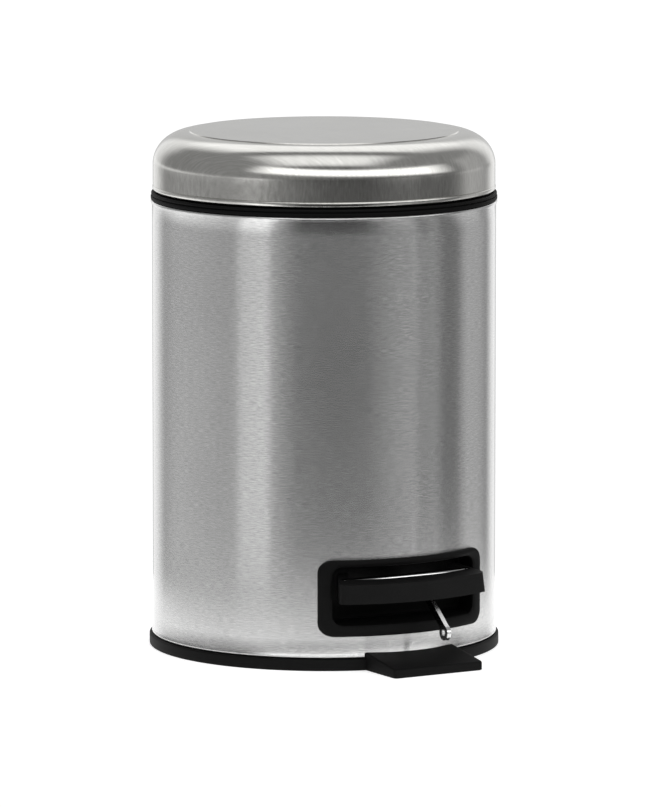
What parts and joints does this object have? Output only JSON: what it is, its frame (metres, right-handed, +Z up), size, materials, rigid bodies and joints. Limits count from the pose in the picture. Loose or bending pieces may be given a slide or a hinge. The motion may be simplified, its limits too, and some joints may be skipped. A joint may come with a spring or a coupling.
{
  "type": "pedal bin",
  "caption": "Round brushed-steel pedal bin with domed lid, black base, collar, bezel and arched pedal; pressing the pedal lifts the lid by a push rod.",
  "frame": {"origin": "centre of the base's underside, on the floor, under the shell's axis", "axes": "+Z up; the pedal and the front tongue are on -Y, the lid's hinge on +Y; +X to the right of someone facing +Y"},
  "size_m": [0.1736, 0.2046, 0.2561],
  "materials": {
    "shell_steel": "brushed round the body",
    "lid_steel": "fine satin brushing",
    "lever_steel": "bright bare steel",
    "zinc_steel": "zinc plated",
    "black_plastic": "fine moulded grain",
    "pedal_plastic": "fine moulded grain, slightly worn",
    "bucket_plastic": "smooth moulded",
    "rubber": "matte"
  },
  "bodies": {
    "bin": {"outer_shell": "shell_steel", "base_tray": "black_plastic", "collar_ring": "black_plastic", "pedal_bezel": "black_plastic", "inner_bucket": "bucket_plastic", "pedal_axle": "zinc_steel", "axle_clip_left": "zinc_steel", "axle_clip_right": "zinc_steel", "rod_guide": "black_plastic", "hinge_bracket": "black_plastic", "hinge_pin": "zinc_steel", "bracket_screw_left": "zinc_steel", "bracket_screw_right": "zinc_steel", "bracket_nut_left": "zinc_steel", "bracket_nut_right": "zinc_steel"},
    "bucket_bail": {"bucket_handle": "zinc_steel"},
    "pedal": {"pedal_lever": "lever_steel", "pedal_crossbar": "lever_steel", "pedal_arch": "pedal_plastic", "stop_leg": "lever_steel", "leg_rivet": "zinc_steel"},
    "rod": {"push_rod": "zinc_steel"},
    "lid": {"lid_shell": "lid_steel", "lid_liner": "black_plastic", "hinge_arm": "black_plastic", "arm_screw_left": "zinc_steel", "arm_screw_right": "zinc_steel", "lid_bumper_left": "rubber", "lid_bumper_right": "rubber"}
  },
  "joints": [
    {"name": "lid_hinge", "type": "hinge", "parent": "bin", "child": "lid", "pos_m": [0, 0.08915, 0.2235], "axis": [-1, 0, 0], "range_deg": [0, 80]},
    {"name": "pedal_pivot", "type": "hinge", "parent": "bin", "child": "pedal", "pos_m": [0, -0.022, 0.016], "axis": [1, 0, 0], "range_deg": [0, 6.6]},
    {"name": "rod_slide", "type": "slide", "parent": "bin", "child": "rod", "axis": [0, 0, 1], "range_m": [0, 0.01187]},
    {"name": "bail_pivot", "type": "hinge", "parent": "bin", "child": "bucket_bail", "pos_m": [0, 0, 0.214], "axis": [-1, 0, 0], "range_deg": [0, 30]}
  ],
  "couplings": [
    {"joint": "pedal_pivot", "follows": "lid_hinge", "ratio": 0.0825},
    {"joint": "rod_slide", "follows": "lid_hinge", "m_per_rad": 0.0085}
  ]
}
